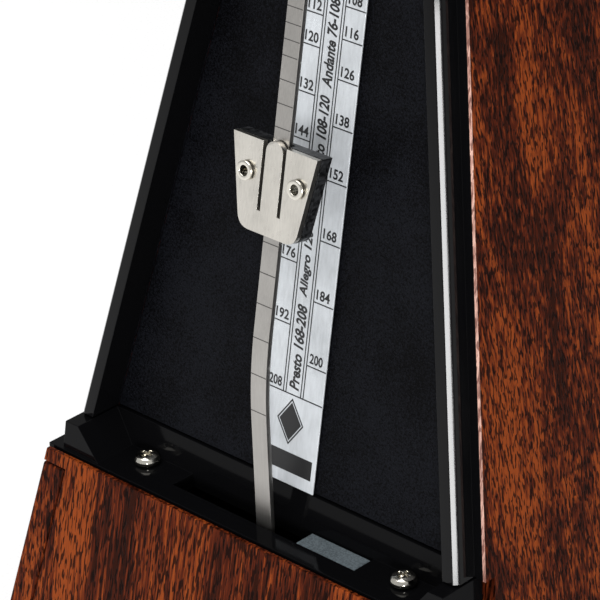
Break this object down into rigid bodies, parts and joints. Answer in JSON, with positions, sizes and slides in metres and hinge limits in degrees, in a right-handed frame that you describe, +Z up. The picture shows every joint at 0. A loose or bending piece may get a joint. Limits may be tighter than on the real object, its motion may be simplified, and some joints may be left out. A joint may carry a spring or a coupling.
{
  "type": "metronome",
  "caption": "Wind-up pyramid metronome with its front cover off: tapering wooden case, black bay, tempo scale, swinging rod with sliding weight, spring-driven movement and winding key.",
  "frame": {"origin": "middle of the bounding box at the feet's underside", "axes": "+Z up, -Y the scale side, +X the side of the winding key"},
  "size_m": [0.1354, 0.115, 0.2193],
  "materials": {
    "wood": "satin-varnished reddish-brown mahogany",
    "rubber": "matt black",
    "gloss_black": "gloss black enamel",
    "panel_black": "fine-textured matt black",
    "scale": "silver-white satin with black print",
    "nickel": "bright nickel plate",
    "steel": "brushed steel",
    "brass": "satin brass",
    "felt": "pale grey felt",
    "cast": "black crinkle paint on cast metal",
    "lead": "grey cast metal, bare"
  },
  "bodies": {
    "case": {"base_board": "wood", "foot_front_left": "rubber", "foot_front_right": "rubber", "foot_rear_left": "rubber", "foot_rear_right": "rubber", "left_side_panel": "wood", "right_side_panel": "wood", "rear_panel": "wood", "lower_front_panel": "wood", "top_cap": "wood", "bay_surround": "gloss_black", "back_panel": "panel_black", "platform": "gloss_black", "scale_strip": "scale", "slot_pad": "felt", "platform_screw_left": "nickel", "platform_screw_right": "nickel", "platform_support_left": "wood", "platform_support_right": "wood", "rod_catch": "steel", "inner_plate": "brass", "outer_plate": "brass", "pillar_front_low": "brass", "pillar_rear_low": "brass", "pillar_front_high": "brass", "pillar_rear_high": "brass", "front_mount_rail": "steel", "rear_mount_rail": "steel", "front_bridge": "brass", "rear_bridge": "brass", "click_spring": "steel", "key_bushing": "nickel"},
    "pendulum": {"pendulum_rod": "steel", "fixed_bob": "lead", "rod_hub": "brass", "pendulum_arbor": "steel", "front_pallet": "steel", "rear_pallet": "steel"},
    "sliding_weight": {"weight_body": "cast", "weight_plate": "nickel", "weight_rivet_left": "nickel", "weight_rivet_right": "nickel"},
    "winding": {"winding_arbor": "steel", "ratchet_wheel": "steel", "winding_key": "nickel"},
    "barrel": {"mainspring_barrel": "brass", "barrel_cover": "brass", "mainspring": "steel"},
    "centre_wheel_set": {"centre_arbor": "steel", "centre_wheel": "brass"},
    "escape_wheel_set": {"escape_arbor": "steel", "escape_wheel": "brass"},
    "click": {"click": "steel"}
  },
  "joints": [
    {"name": "pendulum_swing", "type": "hinge", "parent": "case", "child": "pendulum", "pos_m": [-0.01025, 0, 0.048], "axis": [0, 1, 0], "range_deg": [-17, 17]},
    {"name": "weight_slide", "type": "slide", "parent": "pendulum", "child": "sliding_weight", "axis": [0, 0.1961, 0.9806], "range_m": [-0.012, 0.07]},
    {"name": "key_turn", "type": "hinge", "parent": "case", "child": "winding", "pos_m": [0.02975, 0.01034, 0.02877], "axis": [1, 0, 0], "continuous": true},
    {"name": "barrel_turn", "type": "hinge", "parent": "case", "child": "barrel", "pos_m": [0.01375, 0.01034, 0.02877], "axis": [1, 0, 0], "continuous": true},
    {"name": "centre_turn", "type": "hinge", "parent": "case", "child": "centre_wheel_set", "pos_m": [0.01375, -0.00738, 0.0355], "axis": [1, 0, 0], "continuous": true},
    {"name": "escape_turn", "type": "hinge", "parent": "case", "child": "escape_wheel_set", "pos_m": [0.01375, -0.013, 0.048], "axis": [1, 0, 0], "continuous": true},
    {"name": "click_lift", "type": "hinge", "parent": "case", "child": "click", "pos_m": [0.02675, 0.00934, 0.03777], "axis": [1, 0, 0], "range_deg": [0, 6], "stiffness_Nm_per_rad": 0.02}
  ],
  "couplings": [
    {"joint": "centre_turn", "follows": "escape_turn", "ratio": -0.2},
    {"joint": "barrel_turn", "follows": "escape_turn", "ratio": 0.04}
  ]
}
